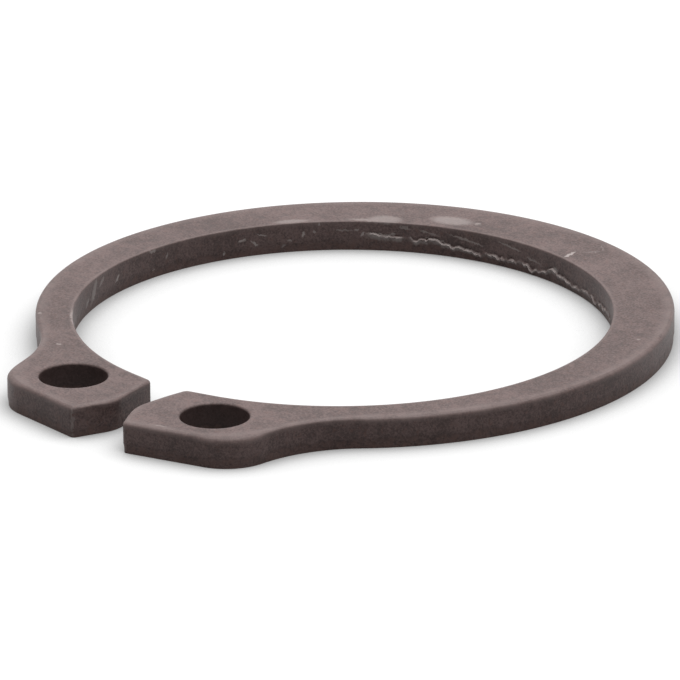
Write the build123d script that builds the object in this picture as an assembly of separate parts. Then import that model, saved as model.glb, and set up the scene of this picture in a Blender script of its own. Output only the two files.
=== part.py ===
from build123d import *
from math import acos, atan2, cos, pi, radians, sin, sqrt
import os

# External retaining ring for a 22 mm shaft, blanked in one stroke from spring steel strip.
# All sizes are in millimetres. The ring lies on z = 0 with its bore round the Z axis,
# its gap and its two lugs point along -Y, and its widest stretch is at +Y.

# Band: the outer circle stands off the bore's centre, so the band tapers towards the gap.
bore_radius = 10.25
thickness = 1.20
back_width = 2.62            # radial width opposite the gap
front_width = 1.18           # radial width that the taper comes down to at the gap

# Gap between the lugs: it narrows from the bore to a throat, then flares to the mouth.
gap_width = 1.60             # at the bore
throat_width = 0.92
throat_depth = 2.45          # from the bore's lowest point out to the throat
mouth_width = 2.42           # between the lugs' outer corners

# Lugs, each with a straight front edge that leans back from the gap.
lug_height = 4.00            # from the bore out to the front edge, square to that edge
front_lean = 11.9            # degrees between the front edge and the X axis
lug_half_width = 6.00        # from the gap's middle to the side of the rounded corner
lug_corner_radius = 1.90
neck_radius = 5.20           # hollow sweep from the lug's corner into the band
nose_radius = 0.25           # corner between the bore and the gap
throat_radius = 1.50         # rounding of each lug where the gap is narrowest

# Pliers holes
hole_radius = 1.28
hole_spacing = 6.86          # centre to centre
hole_wall = 0.62             # left between a hole and the bore

# Sheared edge: rolled over on the die side, straight land, then the torn break below it.
roll_radius = 0.15
break_height = 0.45          # height of the torn part above the lower face
break_inset = 0.04           # how far it has drawn in at the lower face

outer_radius = bore_radius + (back_width + front_width) / 2
outer_offset = (back_width - front_width) / 2
outer_centre = Vector(0, outer_offset)


def turned(centre, radius, angle):
    # point at an angle in radians, counter-clockwise from +X
    return centre + Vector(cos(angle), sin(angle)) * radius


def front_edge_point(x, inset=0):
    # point on the lug's front edge, or on a line that lies inside it by the inset
    lean = radians(front_lean)
    reach = bore_radius + lug_height - inset
    return Vector(x, (x * sin(lean) - reach) / cos(lean))


def neck_centre(corner_centre):
    # centre of the hollow arc that touches the lug's corner and the band's outer circle
    to_corner = lug_corner_radius + neck_radius
    to_outer = outer_radius + neck_radius
    across = outer_centre - corner_centre
    spread = acos((to_corner**2 + across.length**2 - to_outer**2) / (2 * to_corner * across.length))
    return turned(corner_centre, to_corner, atan2(across.Y, across.X) - spread)


def toward(start, end, distance):
    return start + (end - start).normalized() * distance


# Corners of the right-hand half, from the bore round the gap to the mouth
nose = Vector(gap_width / 2, -sqrt(bore_radius**2 - (gap_width / 2) ** 2))
throat = Vector(throat_width / 2, -bore_radius - throat_depth)
mouth = front_edge_point(mouth_width / 2)

# Centres of the two arcs that carry the lug's front edge into the band
corner_centre = front_edge_point(lug_half_width - lug_corner_radius, lug_corner_radius)
sweep_centre = neck_centre(corner_centre)

front_end = turned(corner_centre, lug_corner_radius, radians(front_lean) - pi / 2)
corner_end = toward(corner_centre, sweep_centre, lug_corner_radius)
sweep_end = toward(outer_centre, sweep_centre, outer_radius)

hole_circle = bore_radius + hole_wall + hole_radius
hole_drop = sqrt(hole_circle**2 - (hole_spacing / 2) ** 2)
hole_centres = [(-hole_spacing / 2, -hole_drop), (hole_spacing / 2, -hole_drop)]


def half_outline():
    # right-hand half of the blank's edge, from the back of the bore to the back of the band
    bore = ThreePointArc((0, bore_radius), (bore_radius, 0), nose)
    gap_side = Polyline(nose, throat, mouth, front_end)
    corner = TangentArc(front_end, corner_end, tangent=front_end - mouth)
    sweep = TangentArc(corner_end, sweep_end, tangent=corner % 1)
    back = TangentArc(sweep_end, (0, outer_offset + outer_radius), tangent=sweep % 1)
    return [bore, gap_side, corner, sweep, back]


def blank_profile():
    half = Curve() + half_outline()
    profile = make_face(half + mirror(half, about=Plane.YZ))
    profile = fillet(corners_at(profile, nose), nose_radius)
    profile = fillet(corners_at(profile, throat), throat_radius)
    return profile - [Pos(centre) * Circle(hole_radius) for centre in hole_centres]


def corners_at(profile, point):
    # the profile's corner at this point and its mirror image on the other lug
    vertices = profile.vertices()
    twin = Vector(-point.X, point.Y)
    return [vertices.sort_by_distance(point)[0], vertices.sort_by_distance(twin)[0]]


def retaining_ring():
    ring = extrude(blank_profile(), thickness)
    top = ring.faces().sort_by(Axis.Z)[-1]
    ring = fillet(top.edges(), roll_radius)
    bottom = ring.faces().sort_by(Axis.Z)[0]
    return chamfer(bottom.edges(), break_inset, break_height, reference=bottom)


os.makedirs("parts", exist_ok=True)
export_step(retaining_ring(), "parts/retaining_ring.step")
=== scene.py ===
from math import acos, atan2, ceil, cos, hypot, pi, radians, sin, sqrt, tau

import bpy
import numpy as np
from mathutils import Matrix, Vector, noise
from mathutils.geometry import delaunay_2d_cdt


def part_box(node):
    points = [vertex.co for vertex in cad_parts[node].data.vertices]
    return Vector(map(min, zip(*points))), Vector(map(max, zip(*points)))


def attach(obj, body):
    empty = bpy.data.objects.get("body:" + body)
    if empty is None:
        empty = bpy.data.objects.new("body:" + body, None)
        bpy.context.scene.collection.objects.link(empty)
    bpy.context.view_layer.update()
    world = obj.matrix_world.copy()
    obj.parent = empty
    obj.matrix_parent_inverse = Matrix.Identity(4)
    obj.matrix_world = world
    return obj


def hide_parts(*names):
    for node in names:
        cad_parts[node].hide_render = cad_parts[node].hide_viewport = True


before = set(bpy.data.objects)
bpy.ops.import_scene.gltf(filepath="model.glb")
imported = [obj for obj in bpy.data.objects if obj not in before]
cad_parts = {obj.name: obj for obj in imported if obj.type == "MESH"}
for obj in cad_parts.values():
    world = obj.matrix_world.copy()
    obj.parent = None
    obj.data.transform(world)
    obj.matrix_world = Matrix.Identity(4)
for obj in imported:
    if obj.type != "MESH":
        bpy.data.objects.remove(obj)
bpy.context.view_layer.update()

# External retaining ring, blanked from spring steel strip and phosphated.
# It lies on z = 0 round the Z axis, with its gap and its two lugs towards -Y.

mm = 0.001
ringLow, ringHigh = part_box("retaining_ring")
print("frame loaded, ring is", round((ringHigh[2] - ringLow[2]) / mm, 3), "mm thick")


# Small helpers for building node trees.

def setInput(tree, node, name, value):
    socket = node.inputs[name]        # name is a socket's name or its number
    if isinstance(value, bpy.types.NodeSocket):
        tree.links.new(value, socket)
    else:
        socket.default_value = value


def addNode(tree, kind, settings=None, inputs=None):
    node = tree.nodes.new(kind)
    for name, value in (settings or {}).items():
        setattr(node, name, value)
    for name, value in (inputs or {}).items():
        setInput(tree, node, name, value)
    return node


def calc(tree, operation, *values, clamp=False):
    node = addNode(tree, "ShaderNodeMath", {"operation": operation, "use_clamp": clamp})
    for slot, value in enumerate(values):
        setInput(tree, node, slot, value)
    return node.outputs[0]


def vectorCalc(tree, operation, *values):
    node = addNode(tree, "ShaderNodeVectorMath", {"operation": operation})
    for slot, value in enumerate(values):
        if operation == "SCALE" and slot == 1:
            setInput(tree, node, "Scale", value)
        else:
            setInput(tree, node, slot, value)
    return node.outputs["Value" if operation in ("LENGTH", "DISTANCE", "DOT_PRODUCT") else "Vector"]


def remap(tree, value, low, high, newLow=0.0, newHigh=1.0, smooth=False):
    curve = "SMOOTHSTEP" if smooth else "LINEAR"
    node = addNode(tree, "ShaderNodeMapRange", {"interpolation_type": curve})
    for name, number in zip(("Value", "From Min", "From Max", "To Min", "To Max"),
                            (value, low, high, newLow, newHigh)):
        setInput(tree, node, name, number)
    return node.outputs["Result"]


def mixColour(tree, factor, first, second):
    node = addNode(tree, "ShaderNodeMix", {"data_type": "RGBA"})
    for slot, value in ((0, factor), (6, first), (7, second)):
        setInput(tree, node, slot, value)
    return node.outputs[2]


# The ring's outline, in millimetres.

ringSizes = {
    "boreRadius": 10.25,
    "backWidth": 2.62,         # radial width opposite the gap
    "frontWidth": 1.18,        # radial width that the taper comes down to at the gap
    "gapWidth": 1.60,          # at the bore
    "throatWidth": 0.92,
    "throatDepth": 2.45,       # from the bore's lowest point out to the throat
    "mouthWidth": 2.42,
    "lugHeight": 4.00,
    "frontLean": 11.9,         # degrees
    "lugHalfWidth": 6.00,
    "lugCornerRadius": 1.90,
    "neckRadius": 5.20,
    "noseRadius": 0.25,
    "throatRadius": 1.50,
    "mouthRadius": 0.22,
    "holeRadius": 1.28,
    "holeSpacing": 6.86,
    "holeWall": 0.62,
    "edgeStep": 0.08,          # spacing of the points along every edge
    "faceStep": 0.125,         # spacing of the points inside the two flat faces
    "outerRoll": 0.16,         # how far the rolled edge reaches in over the upper face
    "boreRoll": 0.06,
    "gapRoll": 0.09,
    "holeRoll": 0.13,
    "rollGain": 1.3,           # how much more a tight corner of the edge rolls over, in mm
    "rollRange": (0.7, 1.6),   # least and most of that, as shares of the usual roll
    "rollLimit": 0.75,         # the roll takes up no more than this share of a corner's radius
    "rollSpread": 7,           # how many points to each side a change of the roll is spread over
    "clearance": 0.6,          # how close an inner point may come to the rim, in steps of the face
    "sliver": 1e-6,            # a triangle of the plan with less area than this is left out
    "onBore": 0.01,            # a point this close to the bore's circle lies on it
}


def along(start, end, step):
    count = max(1, ceil((end - start).length / step))
    return [start.lerp(end, i / count) for i in range(count)]


def arc(centre, radius, start, end, step):        # angles in radians, turning from start to end
    count = max(1, ceil(abs(end - start) * radius / step))
    angles = [start + (end - start) * i / count for i in range(count)]
    return [centre + Vector((radius * cos(a), radius * sin(a))) for a in angles]


def angleOf(point, centre=Vector((0, 0))):
    return atan2(point.y - centre.y, point.x - centre.x)


def shortTurn(start, end):
    return start + (end - start + pi) % tau - pi


def roundedCorner(before, corner, after, radius, step):
    # Where a straight edge turns a corner: the point where the round starts, its points, and where it ends.
    inward, outward = (before - corner).normalized(), (after - corner).normalized()
    half = acos(inward.dot(outward)) / 2
    reach = radius / (sin(half) / cos(half))
    first, last = corner + inward * reach, corner + outward * reach
    centre = corner + (inward + outward).normalized() * radius / sin(half)
    startAngle = angleOf(first, centre)
    return first, arc(centre, radius, startAngle, shortTurn(startAngle, angleOf(last, centre)), step), last


def ringOutline(sizes):
    # One closed loop with the steel on its left: down the +X half, then its mirror image back up.
    step = sizes["edgeStep"]
    origin = Vector((0, 0))
    outerRadius = sizes["boreRadius"] + (sizes["backWidth"] + sizes["frontWidth"]) / 2
    outerCentre = Vector((0, (sizes["backWidth"] - sizes["frontWidth"]) / 2))
    lean = radians(sizes["frontLean"])

    def frontEdge(x, inset=0.0):
        return Vector((x, (x * sin(lean) - (sizes["boreRadius"] + sizes["lugHeight"] - inset)) / cos(lean)))

    noseX = sizes["gapWidth"] / 2
    nose = Vector((noseX, -sqrt(sizes["boreRadius"] ** 2 - noseX ** 2)))
    throat = Vector((sizes["throatWidth"] / 2, -sizes["boreRadius"] - sizes["throatDepth"]))
    mouth = frontEdge(sizes["mouthWidth"] / 2)
    cornerRadius, neckRadius = sizes["lugCornerRadius"], sizes["neckRadius"]
    cornerCentre = frontEdge(sizes["lugHalfWidth"] - cornerRadius, cornerRadius)
    frontEnd = cornerCentre + Vector((sin(lean), -cos(lean))) * cornerRadius
    # The neck's centre lies a fixed distance from the corner's centre and from the outer circle's.
    toCorner, toOuter = cornerRadius + neckRadius, outerRadius + neckRadius
    apart = cornerCentre - outerCentre
    turn = acos((toOuter ** 2 + apart.length ** 2 - toCorner ** 2) / (2 * toOuter * apart.length))
    neckAngle = angleOf(cornerCentre, outerCentre) + turn
    neckCentre = outerCentre + Vector((cos(neckAngle), sin(neckAngle))) * toOuter

    backAlongBore = nose - Vector((nose.y, -nose.x)).normalized()
    noseStart, noseArc, noseEnd = roundedCorner(backAlongBore, nose, throat, sizes["noseRadius"], step / 2)
    throatStart, throatArc, throatEnd = roundedCorner(nose, throat, mouth, sizes["throatRadius"], step)
    mouthStart, mouthArc, mouthEnd = roundedCorner(throat, mouth, frontEnd, sizes["mouthRadius"], step / 2)
    cornerStart = angleOf(frontEnd, cornerCentre)
    cornerStop = shortTurn(cornerStart, angleOf(neckCentre, cornerCentre))
    neckStart = angleOf(cornerCentre, neckCentre)
    neckStop = shortTurn(neckStart, angleOf(outerCentre, neckCentre))
    outerStart = angleOf(neckCentre, outerCentre)

    half = arc(origin, sizes["boreRadius"], pi / 2, angleOf(noseStart), step)
    half += noseArc + along(noseEnd, throatStart, step)
    half += throatArc + along(throatEnd, mouthStart, step)
    half += mouthArc + along(mouthEnd, frontEnd, step)
    half += arc(cornerCentre, cornerRadius, cornerStart, cornerStop, step)
    half += arc(neckCentre, neckRadius, neckStart, neckStop, step)
    half += arc(outerCentre, outerRadius, outerStart, pi / 2, step)
    half.append(outerCentre + Vector((0, outerRadius)))
    return half + [Vector((-p.x, p.y)) for p in reversed(half[1:-1])]


def holeOutline(sizes, side):        # clockwise, so that the steel is on its left here too
    circle = sizes["boreRadius"] + sizes["holeWall"] + sizes["holeRadius"]
    centre = Vector((side * sizes["holeSpacing"] / 2, -sqrt(circle ** 2 - (sizes["holeSpacing"] / 2) ** 2)))
    return arc(centre, sizes["holeRadius"], 0, -tau, sizes["edgeStep"])


def usualRoll(points, isHole, sizes):        # the width of the roll by the kind of edge
    radius = np.hypot(points[:, 0], points[:, 1])
    onBore = abs(radius - sizes["boreRadius"]) < sizes["onBore"]
    inGap = (abs(points[:, 0]) < sizes["mouthWidth"] / 2) & (points[:, 1] < 0)
    roll = np.select([onBore, inGap], [sizes["boreRoll"], sizes["gapRoll"]], sizes["outerRoll"])
    return np.full(len(points), sizes["holeRoll"]) if isHole else roll


def edgeFacts(loop, isHole, sizes):
    # For each point of a loop: the mitred way out of the steel, the length run so far and the roll's width.
    points = np.array([(p.x, p.y) for p in loop])
    nextStep = np.roll(points, -1, axis=0) - points
    length = np.hypot(nextStep[:, 0], nextStep[:, 1])
    nextOut = np.stack([nextStep[:, 1], -nextStep[:, 0]], axis=1) / length[:, None]
    lastOut = np.roll(nextOut, 1, axis=0)
    out = nextOut + lastOut
    out /= (1 + (nextOut * lastOut).sum(axis=1))[:, None]
    run = np.concatenate([[0.0], np.cumsum(length)[:-1]])
    # positive where the edge bulges out
    turn = np.arcsin(np.clip(lastOut[:, 0] * nextOut[:, 1] - lastOut[:, 1] * nextOut[:, 0], -1, 1))
    bend = turn / ((length + np.roll(length, 1)) / 2)
    spread = sizes["rollSpread"]
    kernel = np.hanning(2 * spread + 1)
    kernel /= kernel.sum()

    def wrapped(values, reach):
        return np.concatenate([values[-reach:], values, values[:reach]])

    def smoothed(values):
        return np.convolve(wrapped(values, spread), kernel, mode="valid")

    gain = np.clip(1 + sizes["rollGain"] * smoothed(bend), *sizes["rollRange"])
    roll = usualRoll(points, isHole, sizes) * gain
    # A tight corner leaves less room, for its neighbours too.
    leastBend = 0.01        # straight enough to set no limit
    limit = sizes["rollLimit"] / np.maximum(bend, leastBend)
    reach = 2 * spread
    limit = np.lib.stride_tricks.sliding_window_view(wrapped(limit, reach), 2 * reach + 1).min(axis=1)
    return points, out, run, smoothed(np.minimum(roll, limit))


def insideSteel(points, loops):        # even-odd rule over all the loops at once
    inside = np.zeros(len(points), dtype=bool)
    for loop in loops:
        for (ax, ay), (bx, by) in zip(loop, np.roll(loop, -1, axis=0)):
            if ay == by:
                continue
            crosses = (points[:, 1] > ay) != (points[:, 1] > by)
            inside ^= crosses & (points[:, 0] < (bx - ax) * (points[:, 1] - ay) / (by - ay) + ax)
    return inside


def nearestRim(points, rim):        # how far each point is from the rim, and from which of the rim's points
    distances, nearest = [], []
    for part in np.array_split(points, max(1, len(points) // 500)):
        square = ((part[:, None, :] - rim[None, :, :]) ** 2).sum(axis=2)
        distances.append(np.sqrt(square.min(axis=1)))
        nearest.append(square.argmin(axis=1))
    return np.concatenate(distances), np.concatenate(nearest)


# The torn edge, in millimetres and degrees: where the land ends and the break begins.

tearSizes = {
    "usualHeight": 0.45,
    "waver": 0.06,             # slow rise and fall
    "waverPace": 1.4,          # how many for each mm of the edge
    "ragged": 0.075,           # short broken steps
    "steps": ((3.1, 1.0), (7.3, 0.7)),        # how many for each mm, and their share of the height
    "depthPace": 4.3,          # changes of the tear's depth for each mm
    "depthRange": (0.8, 1.3),
    # by angle: height of the tear line, and how deep the tear is
    "boreLine": ((50, 0.38), (58, 0.34), (62, 0.43), (68, 0.40), (72, 0.31), (74, 0.45), (76.7, 0.58),
                 (79, 0.34), (83, 0.30), (86, 0.37), (89, 0.43), (91, 0.36), (93, 0.43), (96.3, 0.49),
                 (97.6, 0.34), (99, 0.33), (102, 0.44), (105, 0.48), (107, 0.52), (108, 0.66), (111, 0.63),
                 (114, 0.62), (117.6, 0.57), (121, 0.64), (124, 0.73), (128, 0.50)),
    "boreDepth": ((42, 0.0), (50, 0.8), (60, 1.0), (95, 1.0), (97.2, 0.2), (98.6, 1.0), (113, 1.0),
                  (115, 0.1), (117, 0.9), (123, 0.9), (125, 0.0)),
}


def between(pairs, position, outside):        # straight from pair to pair
    if position <= pairs[0][0] or position >= pairs[-1][0]:
        return outside
    for (a, low), (b, high) in zip(pairs, pairs[1:]):
        if a <= position <= b:
            return low + (high - low) * (position - a) / (b - a)


def tearAt(point, out, run):
    height, depth = tearSizes["usualHeight"], 0.0
    radius = hypot(point[0], point[1])
    facesIn = out[0] * point[0] + out[1] * point[1] < 0
    if facesIn and abs(radius - ringSizes["boreRadius"]) < ringSizes["onBore"]:
        angle = atan2(point[1], point[0]) * 180 / pi
        height = between(tearSizes["boreLine"], angle, height)
        depth = between(tearSizes["boreDepth"], angle, depth)
    height += tearSizes["waver"] * noise.noise(Vector((run * tearSizes["waverPace"], 3.1, radius)))
    for (pace, size), lane in zip(tearSizes["steps"], (5.5, 9.5)):        # the cells of a lane are one row
        height += tearSizes["ragged"] * size * (noise.cell(Vector((run * pace, lane, 0.0))) - 0.5)
    least, most = tearSizes["depthRange"]
    depth *= least + (most - least) * noise.cell(Vector((run * tearSizes["depthPace"], 1.5, 0.0)))
    return height, depth


def ringPlan(sizes):
    # A flat mesh of the steel, drawn in by the roll's width, which carries what the edge tree needs.
    loops = [ringOutline(sizes), holeOutline(sizes, -1), holeOutline(sizes, 1)]
    rims, facts, edges = [], [], []
    start = 0
    for number, loop in enumerate(loops):
        points, out, run, roll = edgeFacts(loop, number > 0, sizes)
        count = len(points)
        rims.append(points - out * roll[:, None])
        facts += [(points[i], out[i], run[i], roll[i], number > 0) for i in range(count)]
        edges += [(start + i, start + (i + 1) % count) for i in range(count)]
        start += count
    rim = np.concatenate(rims)
    low, high = rim.min(axis=0), rim.max(axis=0)
    stepX, stepY = sizes["faceStep"], sizes["faceStep"] * sqrt(3) / 2
    rows = np.arange(low[1], high[1], stepY)
    grid = np.array([(x + (row % 2) * stepX / 2, y)
                     for row, y in enumerate(rows) for x in np.arange(low[0], high[0], stepX)])
    grid = grid[insideSteel(grid, rims)]
    distance, nearest = nearestRim(grid, rim)
    roomy = distance > sizes["faceStep"] * sizes["clearance"]
    grid, distance, nearest = grid[roomy], distance[roomy], nearest[roomy]
    everything = np.concatenate([rim, grid])
    corners, _, triangles, origins, _, _ = delaunay_2d_cdt(
        [Vector(p) for p in everything.tolist()], edges, [], 0, 1e-7)
    flat = np.array([[corners[i] for i in t] for t in triangles])
    firstSide, secondSide = flat[:, 1] - flat[:, 0], flat[:, 2] - flat[:, 0]
    area = abs(firstSide[:, 0] * secondSide[:, 1] - firstSide[:, 1] * secondSide[:, 0]) / 2
    keep = insideSteel(flat.mean(axis=1), rims) & (area > sizes["sliver"])
    kept = [t for t, inside in zip(triangles, keep) if inside]

    mesh = bpy.data.meshes.new("ringPlan")
    mesh.from_pydata([(c.x * mm, c.y * mm, 0) for c in corners], [], kept)
    count = len(corners)
    rimPoint = np.array([(c.x, c.y, 0) for c in corners])
    outward = np.zeros((count, 3))
    run, rollWidth, tearHeight, tearDepth, edgeDistance, pierced = np.zeros((6, count))
    for index in range(count):
        first = min(origins[index])
        if first < len(facts):
            point, out, run[index], rollWidth[index], pierced[index] = facts[first]
            rimPoint[index, :2], outward[index, :2] = point, out
            tearHeight[index], tearDepth[index] = tearAt(point, out, run[index])
        else:
            inGrid = first - len(facts)
            edgeDistance[index] = distance[inGrid]
            rollWidth[index], pierced[index] = facts[nearest[inGrid]][3:]
    for name, values in (("rimPoint", rimPoint * mm), ("outward", outward)):
        mesh.attributes.new(name, "FLOAT_VECTOR", "POINT").data.foreach_set("vector", values.ravel())
    for name, values in (("run", run * mm), ("rollWidth", rollWidth * mm), ("tearHeight", tearHeight * mm),
                         ("tearDepth", tearDepth), ("edgeDistance", edgeDistance * mm),
                         ("pierced", pierced)):
        mesh.attributes.new(name, "FLOAT", "POINT").data.foreach_set("value", values)
    print("plan:", len(facts), "edge points,", len(kept), "triangles")
    return mesh


# The sheared edge grows down from the plan's rim row by row: roll, land, torn lip, break, lower face.

edgeSizes = {
    "Thickness": ringHigh[2] - ringLow[2],
    "Roll Depth": 0.85,        # for each unit of the roll's width
    "Roll Rows": 5,
    "Land Rows": 9,
    "Break Rows": 8,
    "Lip": 0.055 * mm,         # how far the torn lip stands out of the wall
    "Groove": 0.035 * mm,      # and how far the steel is torn in just above it
    "Skin": 0.005 * mm,        # every wall is drawn in by this much
    "Break Inset": 0.04 * mm,
    "Break Roughness": 0.022 * mm,
    "Land Roughness": 0.004 * mm,
    "Roughness Scale": 3.5,    # bumps for each mm
    "Weld": 0.002 * mm,
    "Seed": 7,
}


def edgeTree():
    tree = bpy.data.node_groups.new("shearedEdge", "GeometryNodeTree")
    sockets = tree.interface
    sockets.new_socket("Plan", in_out="INPUT", socket_type="NodeSocketGeometry")
    for name, value in edgeSizes.items():
        kind = "NodeSocketInt" if isinstance(value, int) else "NodeSocketFloat"
        sockets.new_socket(name, in_out="INPUT", socket_type=kind)
    sockets.new_socket("Finish", in_out="INPUT", socket_type="NodeSocketMaterial")
    sockets.new_socket("Ring", in_out="OUTPUT", socket_type="NodeSocketGeometry")
    given = tree.nodes.new("NodeGroupInput").outputs

    def named(name, kind="FLOAT"):
        node = addNode(tree, "GeometryNodeInputNamedAttribute", {"data_type": kind}, {"Name": name})
        return node.outputs[0]

    def stored(geometry, name, value, domain="POINT", kind="FLOAT", selection=True):
        node = addNode(tree, "GeometryNodeStoreNamedAttribute", {"data_type": kind, "domain": domain},
                       {"Geometry": geometry, "Name": name, "Value": value})
        setInput(tree, node, "Selection", selection)
        return node.outputs[0]

    # upper face
    up = addNode(tree, "ShaderNodeCombineXYZ", inputs={"Z": given["Thickness"]}).outputs[0]
    upper = addNode(tree, "GeometryNodeSetPosition",
                    inputs={"Geometry": given["Plan"], "Offset": up}).outputs[0]
    borders = addNode(tree, "GeometryNodeInputMeshEdgeNeighbors").outputs["Face Count"]
    isRim = addNode(tree, "FunctionNodeCompare", {"data_type": "INT", "operation": "EQUAL"},
                    {2: borders, 3: 1}).outputs[0]
    upper = stored(upper, "growing", isRim, "EDGE", "BOOLEAN")

    # rows
    rows = calc(tree, "ADD", calc(tree, "ADD", given["Roll Rows"], given["Land Rows"]), given["Break Rows"])
    rowsIn = tree.nodes.new("GeometryNodeRepeatInput")
    rowsOut = tree.nodes.new("GeometryNodeRepeatOutput")
    rowsIn.pair_with_output(rowsOut)
    setInput(tree, rowsIn, "Iterations", rows)
    tree.links.new(upper, rowsIn.inputs["Geometry"])
    row = calc(tree, "ADD", rowsIn.outputs["Iteration"], 1)
    roll = calc(tree, "DIVIDE", row, given["Roll Rows"], clamp=True)
    afterRoll = calc(tree, "SUBTRACT", row, given["Roll Rows"])
    land = calc(tree, "DIVIDE", afterRoll, given["Land Rows"], clamp=True)
    afterLand = calc(tree, "SUBTRACT", afterRoll, given["Land Rows"])
    torn = calc(tree, "DIVIDE", afterLand, given["Break Rows"], clamp=True)
    angle = calc(tree, "MULTIPLY", roll, pi / 2)
    rollWidth = named("rollWidth")
    rollDepth = calc(tree, "MULTIPLY", rollWidth, given["Roll Depth"])
    drop = calc(tree, "MULTIPLY", rollDepth, calc(tree, "SUBTRACT", 1, calc(tree, "COSINE", angle)))
    inset = calc(tree, "MULTIPLY", rollWidth, calc(tree, "SUBTRACT", 1, calc(tree, "SINE", angle)))
    tearHeight = named("tearHeight")
    landFall = calc(tree, "SUBTRACT", calc(tree, "SUBTRACT", given["Thickness"], rollDepth), tearHeight)
    height = calc(tree, "SUBTRACT", given["Thickness"], drop)
    height = calc(tree, "SUBTRACT", height, calc(tree, "MULTIPLY", land, landFall))
    height = calc(tree, "SUBTRACT", height, calc(tree, "MULTIPLY", torn, tearHeight))

    rimPoint, outward = named("rimPoint", "FLOAT_VECTOR"), named("outward", "FLOAT_VECTOR")
    level = addNode(tree, "ShaderNodeCombineXYZ", inputs={"Z": height}).outputs[0]
    place = vectorCalc(tree, "ADD", rimPoint, level)
    seedShift = addNode(tree, "ShaderNodeCombineXYZ", inputs={"X": given["Seed"]}).outputs[0]
    spot = vectorCalc(tree, "ADD", vectorCalc(tree, "SCALE", place, 1 / mm), seedShift)
    coarse = addNode(tree, "ShaderNodeTexNoise",
                     inputs={"Vector": spot, "Scale": given["Roughness Scale"], "Detail": 4.0,
                             "Roughness": 0.62}).outputs[0]
    isBreak = calc(tree, "GREATER_THAN", afterLand, 0.5)
    fade = calc(tree, "SUBTRACT", 1, calc(tree, "POWER", torn, 4.0))        # smooth at the lower face
    breakWear = calc(tree, "MULTIPLY", calc(tree, "MULTIPLY", isBreak, fade), given["Break Roughness"])
    isLand = calc(tree, "SUBTRACT", calc(tree, "GREATER_THAN", afterRoll, 0.5), isBreak)
    landWear = calc(tree, "MULTIPLY", isLand, given["Land Roughness"])
    wear = calc(tree, "MULTIPLY", calc(tree, "ADD", breakWear, landWear), coarse)
    isGroove = calc(tree, "COMPARE", afterLand, -1.0, 0.5)
    groove = calc(tree, "MULTIPLY", isGroove, given["Groove"])
    isLip = calc(tree, "GREATER_THAN", afterLand, -0.5)
    lipFade = calc(tree, "POWER", calc(tree, "SUBTRACT", 1, torn), 2.0)
    lip = calc(tree, "MULTIPLY", calc(tree, "MULTIPLY", isLip, lipFade), given["Lip"])
    tear = calc(tree, "MULTIPLY", calc(tree, "SUBTRACT", lip, groove), named("tearDepth"))
    drawnIn = calc(tree, "MULTIPLY_ADD", torn, given["Break Inset"], given["Skin"])
    out = calc(tree, "SUBTRACT", calc(tree, "SUBTRACT", tear, inset), calc(tree, "ADD", drawnIn, wear))
    place = vectorCalc(tree, "ADD", place, vectorCalc(tree, "SCALE", outward, out))

    grown = addNode(tree, "GeometryNodeExtrudeMesh", {"mode": "EDGES"},
                    {"Mesh": rowsIn.outputs["Geometry"], "Selection": named("growing", "BOOLEAN"),
                     "Offset Scale": 0.0})
    top = grown.outputs["Top"]
    geometry = stored(grown.outputs["Mesh"], "growing", top, "EDGE", "BOOLEAN")
    geometry = addNode(tree, "GeometryNodeSetPosition",
                       inputs={"Geometry": geometry, "Selection": top, "Position": place}).outputs[0]
    for name, value in (("rollPart", roll), ("landPart", land), ("tornPart", torn)):
        geometry = stored(geometry, name, value, selection=top)
    tree.links.new(geometry, rowsOut.inputs["Geometry"])

    # lower face
    lower = addNode(tree, "GeometryNodeFlipFaces", inputs={"Mesh": given["Plan"]}).outputs[0]
    onRim = calc(tree, "GREATER_THAN", vectorCalc(tree, "LENGTH", outward), 0.5)
    drawIn = calc(tree, "ADD", given["Break Inset"], given["Skin"])
    drawn = vectorCalc(tree, "SCALE", outward, calc(tree, "MULTIPLY", drawIn, -1.0))
    lower = addNode(tree, "GeometryNodeSetPosition",
                    inputs={"Geometry": lower, "Selection": onRim,
                            "Position": vectorCalc(tree, "ADD", rimPoint, drawn)}).outputs[0]
    for name in ("rollPart", "landPart", "tornPart"):
        lower = stored(lower, name, 1.0)

    joined = addNode(tree, "GeometryNodeJoinGeometry")
    tree.links.new(rowsOut.outputs["Geometry"], joined.inputs[0])
    tree.links.new(lower, joined.inputs[0])
    merged = addNode(tree, "GeometryNodeMergeByDistance",
                     inputs={"Geometry": joined.outputs[0], "Distance": given["Weld"]}).outputs[0]
    finished = addNode(tree, "GeometryNodeSetMaterial",
                       inputs={"Geometry": merged, "Material": given["Finish"]}).outputs[0]
    real = addNode(tree, "GeometryNodeRealizeInstances", inputs={"Geometry": finished}).outputs[0]
    output = tree.nodes.new("NodeGroupOutput")
    tree.links.new(real, output.inputs["Ring"])
    return tree


def makeRing(finish):
    piece = bpy.data.objects.new("phosphatedRing", ringPlan(ringSizes))
    bpy.context.collection.objects.link(piece)
    tree = edgeTree()
    modifier = piece.modifiers.new("shearedEdge", "NODES")
    modifier.node_group = tree
    values = dict(edgeSizes, Finish=finish)
    for item in tree.interface.items_tree:
        if item.in_out == "INPUT" and item.name in values:
            modifier[item.identifier] = values[item.name]
    evaluated = piece.evaluated_get(bpy.context.evaluated_depsgraph_get())
    mesh = bpy.data.meshes.new_from_object(evaluated)
    piece.modifiers.remove(modifier)
    piece.data = mesh
    mesh.name = "phosphatedRing"
    for name in ("rimPoint", "outward", "growing"):
        mesh.attributes.remove(mesh.attributes[name])
    mesh.shade_smooth()
    mesh.set_sharp_from_angle(angle=radians(50))
    triangles = sum(len(p.vertices) - 2 for p in mesh.polygons)
    print("ring:", len(mesh.vertices), "vertices,", triangles, "triangles")
    return piece


# Marks of wear, in millimetres: along is half a mark's length and across half its width.

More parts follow.
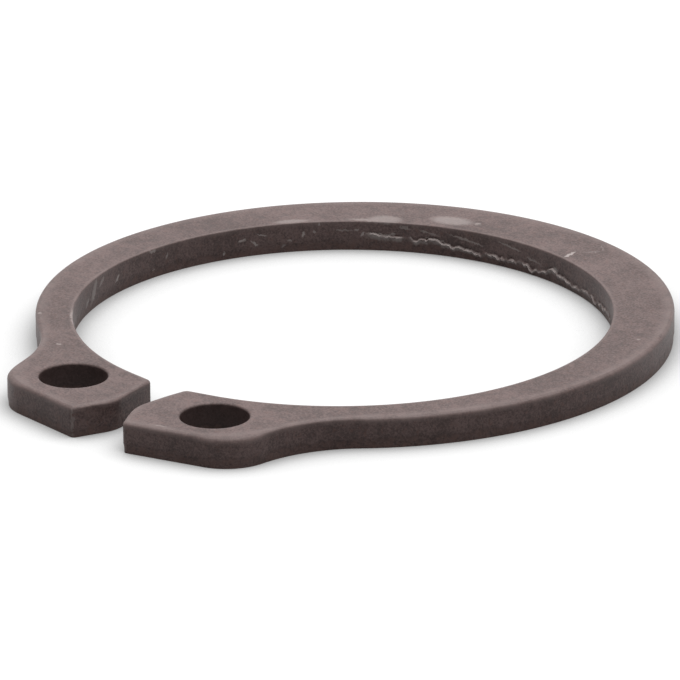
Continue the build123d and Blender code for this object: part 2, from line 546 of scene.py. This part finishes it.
boreMarks = (        # angle round the bore, height, turn from level (degrees), along, across, strength
    (187.3, 0.62, 50, 0.20, 0.05, 0.9), (156.2, 0.28, 0, 0.07, 0.06, 0.8),
    (151.8, 0.68, 10, 0.16, 0.04, 0.7), (148.9, 0.51, -40, 0.18, 0.04, 0.7),
    (147.2, 0.80, -15, 0.18, 0.035, 0.6), (140.8, 0.48, 0, 0.09, 0.05, 0.5),
    (142.4, 0.29, 30, 0.10, 0.05, 0.5), (137.9, 0.69, 55, 0.12, 0.05, 0.7),
    (135.5, 0.79, 0, 0.07, 0.05, 0.5), (134.4, 1.12, 0, 0.06, 0.06, 0.6),
    (126.2, 0.85, 20, 0.09, 0.05, 0.5), (124.9, 0.68, 60, 0.12, 0.05, 0.7),
    (175.2, 1.10, 0, 0.16, 0.06, 0.6), (171.1, 0.74, 70, 0.10, 0.04, 0.5),
    (175.0, 0.34, 0, 0.08, 0.05, 0.4), (129.0, 0.83, 0, 0.30, 0.04, 0.35),
    (115.6, 1.01, -8, 0.22, 0.04, 0.35), (101.0, 0.80, -10, 0.75, 0.04, 0.45),
    (90.0, 0.92, -8, 0.55, 0.04, 0.45), (110.0, 0.88, -12, 0.40, 0.035, 0.35),
    (83.0, 0.62, -12, 0.45, 0.04, 0.35), (198.0, 0.66, 60, 0.50, 0.14, 0.45),
    (194.0, 0.86, 40, 0.22, 0.07, 0.45), (202.0, 0.45, 40, 0.20, 0.08, 0.4),
    (76.0, 0.57, 0, 0.17, 0.09, 0.9), (118.5, 0.70, 15, 0.14, 0.03, 0.5),
    (121.0, 0.65, -8, 0.55, 0.050, 0.65), (108.5, 0.62, -6, 0.42, 0.055, 0.60),
)
faceMarks = (        # x, y, turn from the X axis (degrees), along, across, strength
    (-8.05, 6.70, 50, 0.80, 0.22, 0.42), (-5.31, 9.12, 30, 0.75, 0.52, 0.42),
    (-5.62, 8.78, 31, 1.15, 0.16, 0.42), (-3.15, 10.62, 17, 0.95, 0.52, 0.50),
    (-2.13, 10.96, 0, 0.14, 0.12, 0.5), (2.90, 10.35, 94, 0.40, 0.085, 1.6),
    (3.40, 11.10, 52, 0.50, 0.035, 0.35), (3.44, 11.70, 135, 0.35, 0.035, 0.30),
    (10.74, 4.38, 0, 0.09, 0.07, 0.5), (-8.90, -7.31, 0, 0.10, 0.10, 0.5),
    (-7.69, -8.90, 0, 0.12, 0.08, 0.4), (-6.08, -9.45, 0, 0.14, 0.09, 0.5),
    (-7.60, -6.85, -47, 0.95, 0.13, 0.55), (7.27, -9.47, 0, 0.10, 0.06, 0.5),
    (2.55, -13.70, 12, 0.28, 0.05, 0.6),
)
cornerMark = (-1.25, -14.26, 0.08, 0.75, 0.35)        # x, y, width, height, strength


# Dark phosphate over steel, with a painted highlight on the rolled edges and painted shade in the holes.
# Colours are linear, and a grain is so many spots to the millimetre.

finishLook = {
    "deep": (0.070, 0.046, 0.043, 1),
    "pale": (0.176, 0.122, 0.115, 1),
    "red": (0.160, 0.084, 0.068, 1),
    # painted highlight: the colour of the light that the rolled edges catch
    "rolled": (0.200, 0.150, 0.142, 1),
    "torn": (0.160, 0.100, 0.088, 1),
    # painted shade for the pierced walls
    "hole": (0.045, 0.028, 0.026, 1),
    "bare": (0.400, 0.345, 0.330, 1),
    "cloudGrain": 0.5,
    "blotchGrain": 2.6,
    "fineGrain": 11.0,
    "toneShares": (0.20, 0.25, 0.55),         # of the clouds, the blotches and the fine grain
    "toneRange": (0.43, 0.57),                # from deep to pale
    "speckGrain": 6.0,
    "speckShare": 0.35,
    "besideRoll": 2.2,                        # how far in the face the painted highlight reaches, in widths of the roll
    "highlightGrain": 1.2,
    "highlightRange": (0.3, 0.8),
    "holeShare": 0.75,
    "brownGrain": 4.0,
    "brownRange": (0.25, 0.8),                # from the lip to half-way down the break
    "lipGrain": 5.0,
    "frayGrain": 7.0,
    "frayReach": 0.22,                        # how far a mark's edge strays, in millimetres
    "boreMarkGain": (1.15, 1.3, 1.35),        # on the length, width and strength of the bore's marks
    "markDepth": 0.15,                        # how far a mark reaches into the steel, for its colour only
    "faceMarkDepth": 0.12,
    "roughness": (0.40, 0.50),
    "shine": 0.22,
    "bumpStrength": 0.6,
    "bumpDepth": 0.02 * mm,
}


def phosphatedSteel(look):
    material = bpy.data.materials.new("phosphatedSteel")
    material.use_nodes = True
    tree = material.node_tree
    shader = tree.nodes["Principled BSDF"]
    place = addNode(tree, "ShaderNodeTexCoord").outputs["Object"]
    place = addNode(tree, "ShaderNodeMapping", inputs={"Vector": place, "Scale": (1 / mm,) * 3}).outputs[0]

    def grain(name, detail=3.0, roughness=0.6):
        return addNode(tree, "ShaderNodeTexNoise",
                       inputs={"Vector": place, "Scale": look[name], "Detail": detail,
                               "Roughness": roughness}).outputs[0]

    def attribute(name):
        return addNode(tree, "ShaderNodeAttribute", {"attribute_name": name}).outputs["Fac"]

    roll, land, torn = attribute("rollPart"), attribute("landPart"), attribute("tornPart")
    tearDepth = attribute("tearDepth")

    # mottled from deep to pale, with reddish specks
    clouds, blotches = grain("cloudGrain", 2.0), grain("blotchGrain", 4.0)
    fine = grain("fineGrain", 4.0, 0.75)
    cloudShare, blotchShare, fineShare = look["toneShares"]
    tone = calc(tree, "MULTIPLY_ADD", blotches, blotchShare, calc(tree, "MULTIPLY", clouds, cloudShare))
    tone = calc(tree, "MULTIPLY_ADD", fine, fineShare, tone)
    tone = remap(tree, tone, *look["toneRange"])
    colour = mixColour(tree, tone, look["deep"], look["pale"])
    specks = calc(tree, "MULTIPLY", remap(tree, grain("speckGrain", 2.0), 0.60, 0.68), look["speckShare"])
    colour = mixColour(tree, specks, colour, look["red"])

    # painted highlight: the rolled edge, where it catches the light, is painted lighter, and a little of the
    # face beside it, but not round the holes
    reach = calc(tree, "MULTIPLY", attribute("rollWidth"), look["besideRoll"])
    inReach = calc(tree, "DIVIDE", attribute("edgeDistance"), reach)
    beside = calc(tree, "MULTIPLY", remap(tree, inReach, 1.0, 0.1), remap(tree, roll, 0.6, 0.0))
    rollHighlightBand = calc(tree, "MAXIMUM", remap(tree, roll, 0.0, 0.4), beside)
    rollHighlightBand = calc(tree, "MULTIPLY", rollHighlightBand, remap(tree, land, 0.2, 0.0))
    pierced = attribute("pierced")
    uneven = remap(tree, grain("highlightGrain"), 0.35, 0.65, *look["highlightRange"])
    paintedRollHighlight = calc(tree, "MULTIPLY", rollHighlightBand, uneven)
    paintedRollHighlight = calc(tree, "MULTIPLY", paintedRollHighlight, calc(tree, "SUBTRACT", 1, pierced))
    colour = mixColour(tree, paintedRollHighlight, colour, look["rolled"])

    # painted shade: the pierced walls are painted darker, for the shade inside the holes
    paintedHoleShade = calc(tree, "MULTIPLY", calc(tree, "MULTIPLY", pierced, roll), look["holeShare"])
    colour = mixColour(tree, paintedHoleShade, colour, look["hole"])

    # the break is brown and mottled, more so further down
    brown = remap(tree, grain("brownGrain", 4.0, 0.7), 0.40, 0.60)
    brown = calc(tree, "MULTIPLY", remap(tree, torn, 0.0, 0.5, *look["brownRange"]), brown)
    brown = calc(tree, "MULTIPLY", brown, remap(tree, torn, 0.0, 0.1))
    colour = mixColour(tree, brown, colour, look["torn"])

    # bare steel along the lip and at every mark
    frayed = addNode(tree, "ShaderNodeTexNoise", {"noise_dimensions": "3D"},
                     {"Vector": place, "Scale": look["frayGrain"], "Detail": 2.0}).outputs["Color"]
    frayed = vectorCalc(tree, "SUBTRACT", frayed, (0.5, 0.5, 0.5))
    frayed = vectorCalc(tree, "SCALE", frayed, look["frayReach"])
    frayed = vectorCalc(tree, "ADD", place, frayed)

    def mark(centre, turned, sizes, strength):
        fitted = addNode(tree, "ShaderNodeMapping", {"vector_type": "TEXTURE"},
                         {"Vector": frayed, "Location": centre, "Rotation": turned,
                          "Scale": sizes}).outputs[0]
        return remap(tree, vectorCalc(tree, "LENGTH", fitted), 1.15, 0.55, 0.0, strength, smooth=True)

    bare = calc(tree, "MULTIPLY", remap(tree, land, 0.90, 0.98), remap(tree, torn, 0.36, 0.10))
    bare = calc(tree, "MULTIPLY", bare, calc(tree, "MULTIPLY", tearDepth, 1.4, clamp=True))
    bare = calc(tree, "MULTIPLY", bare, remap(tree, grain("lipGrain", 2.0), 0.35, 0.52, 0.3, 1.0))
    radius = ringSizes["boreRadius"]
    longer, wider, stronger = look["boreMarkGain"]
    for angle, height, turn, length, width, strength in boreMarks:
        a = radians(angle)
        # local X runs level round the bore as seen from inside, local Y up the wall, local Z out of it
        level, rise, out = Vector((sin(a), -cos(a), 0)), Vector((0, 0, 1)), Vector((-cos(a), -sin(a), 0))
        t = radians(turn)
        first, second = level * cos(t) + rise * sin(t), rise * cos(t) - level * sin(t)
        turned = Matrix((first, second, out)).transposed().to_euler()
        centre = Vector((radius * cos(a), radius * sin(a), height))
        sizes = (length * longer, width * wider, look["markDepth"])
        bare = calc(tree, "MAXIMUM", bare, mark(centre, turned, sizes, min(1.0, strength * stronger)))
    top = (ringHigh[2] - ringLow[2]) / mm
    for x, y, turn, length, width, strength in faceMarks:
        sizes = (length, width, look["faceMarkDepth"])
        bare = calc(tree, "MAXIMUM", bare, mark((x, y, top), (0, 0, radians(turn)), sizes, strength))
    # the left lug's corner at the gap is rubbed all the way down
    x, y, width, height, strength = cornerMark
    bare = calc(tree, "MAXIMUM", bare, mark((x, y, top / 2), (0, 0, 0), (width, width, height), strength))
    colour = mixColour(tree, bare, colour, look["bare"])
    setInput(tree, shader, "Base Color", colour)

    setInput(tree, shader, "Roughness", remap(tree, blotches, 0.3, 0.7, *look["roughness"]))
    setInput(tree, shader, "Specular IOR Level", look["shine"])
    relief = calc(tree, "MULTIPLY_ADD", fine, 0.5, calc(tree, "MULTIPLY", blotches, 0.5))
    bump = addNode(tree, "ShaderNodeBump", inputs={"Strength": look["bumpStrength"],
                                                   "Distance": look["bumpDepth"], "Height": relief})
    setInput(tree, shader, "Normal", bump.outputs[0])
    return material


finish = phosphatedSteel(finishLook)
retainingRing = makeRing(finish)
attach(retainingRing, "root")
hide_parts("retaining_ring")
print("ring dressed")


# Studio: a white sweep under one big overhead soft box, and white all round for what shines.

studio = {
    "floorHalf": 1.0,
    "floorColour": (0.20, 0.20, 0.20, 1),        # as the ring and the light see it
    "seenFloor": 0.52,                           # as the camera sees it: half of it lit,
    "seenGlow": 0.52,                            # and half of it glowing
    "contactShadowReach": 8.0 * mm,                    # how far round the ring the painted contact shadow reaches
    "contactSamples": 8,
    "ambient": 0.12,
    "keyPower": 1.30,
    "keySize": 0.36,
    "keyPlace": (0.0, 0.03, 0.28),
}


def whiteSeen(tree):        # 1 for what the camera sees, straight or mirrored
    path = addNode(tree, "ShaderNodeLightPath").outputs
    return calc(tree, "MAXIMUM", calc(tree, "MAXIMUM", path["Is Camera Ray"], path["Is Glossy Ray"]),
                path["Is Transmission Ray"])


def makeFloor():
    half = studio["floorHalf"]
    mesh = bpy.data.meshes.new("studioFloor")
    corners = [(-half, -half, 0), (half, -half, 0), (half, half, 0), (-half, half, 0)]
    mesh.from_pydata(corners, [], [(0, 1, 2, 3)])
    floor = bpy.data.objects.new("studioFloor", mesh)
    bpy.context.collection.objects.link(floor)
    material = bpy.data.materials.new("palePaper")
    material.use_nodes = True
    tree = material.node_tree
    tree.nodes.remove(tree.nodes["Principled BSDF"])
    output = tree.nodes["Material Output"]
    plain = addNode(tree, "ShaderNodeBsdfDiffuse", inputs={"Color": studio["floorColour"]}).outputs[0]
    # painted shadow: ambient occlusion darkens the pale sheet's colour and glow towards what stands on it
    paintedContactShadow = addNode(tree, "ShaderNodeAmbientOcclusion", {"samples": studio["contactSamples"]},
                     {"Distance": studio["contactShadowReach"]})
    openSky = paintedContactShadow.outputs["AO"]
    lit = calc(tree, "MULTIPLY", openSky, studio["seenFloor"])
    seenColour = addNode(tree, "ShaderNodeCombineColor", inputs={0: lit, 1: lit, 2: lit}).outputs[0]
    seen = addNode(tree, "ShaderNodeBsdfDiffuse", inputs={"Color": seenColour}).outputs[0]
    strength = calc(tree, "MULTIPLY", openSky, studio["seenGlow"])
    glow = addNode(tree, "ShaderNodeEmission", inputs={"Strength": strength}).outputs[0]
    lifted = addNode(tree, "ShaderNodeAddShader", inputs={0: seen, 1: glow}).outputs[0]
    mixed = addNode(tree, "ShaderNodeMixShader", inputs={0: whiteSeen(tree), 1: plain, 2: lifted}).outputs[0]
    tree.links.new(mixed, output.inputs["Surface"])
    mesh.materials.append(material)


def makeWorld():
    world = bpy.data.worlds.new("whiteRoom")
    bpy.context.scene.world = world
    world.use_nodes = True
    tree = world.node_tree
    tree.nodes.clear()
    dim = addNode(tree, "ShaderNodeBackground", inputs={"Strength": studio["ambient"]}).outputs[0]
    white = addNode(tree, "ShaderNodeBackground", inputs={"Strength": 1.0}).outputs[0]
    for node in tree.nodes:
        node.inputs["Color"].default_value = (1, 1, 1, 1)
    mixed = addNode(tree, "ShaderNodeMixShader", inputs={0: whiteSeen(tree), 1: dim, 2: white}).outputs[0]
    tree.links.new(mixed, addNode(tree, "ShaderNodeOutputWorld").inputs["Surface"])


def makeKey():
    light = bpy.data.lights.new("softBox", "AREA")
    light.shape = "SQUARE"
    light.size = studio["keySize"]
    light.energy = studio["keyPower"]
    box = bpy.data.objects.new("softBox", light)
    box.location = studio["keyPlace"]
    box.rotation_euler = (-Vector(studio["keyPlace"])).to_track_quat("-Z", "Y").to_euler()
    bpy.context.collection.objects.link(box)


view = {
    "azimuth": 39.34,          # degrees, turning the camera round Z from looking along +Y
    "elevation": 20.14,
    "roll": 0.440,
    "distance": 0.3075,
    "lens": 428.3,
    "aimRight": -0.122 * mm,
    "aimUp": 0.009 * mm,
}


def makeCamera():
    a, e, r = radians(view["azimuth"]), radians(view["elevation"]), radians(view["roll"])
    back = Vector((sin(a) * cos(e), -cos(a) * cos(e), sin(e)))
    right = Vector((cos(a), sin(a), 0))
    up = back.cross(right)
    place = back * view["distance"] + right * view["aimRight"] + up * view["aimUp"]
    rolledRight = right * cos(r) - up * sin(r)
    rolledUp = right * sin(r) + up * cos(r)
    data = bpy.data.cameras.new("viewCamera")
    data.lens = view["lens"]
    data.sensor_width = 36.0
    data.clip_start, data.clip_end = 0.01, 10.0
    camera = bpy.data.objects.new("viewCamera", data)
    turned = Matrix((rolledRight, rolledUp, back)).transposed().to_4x4()
    camera.matrix_world = Matrix.Translation(place) @ turned
    bpy.context.collection.objects.link(camera)
    bpy.context.scene.camera = camera


makeFloor()
makeWorld()
makeKey()
makeCamera()
bpy.context.scene.view_settings.view_transform = "Standard"
print("studio ready")
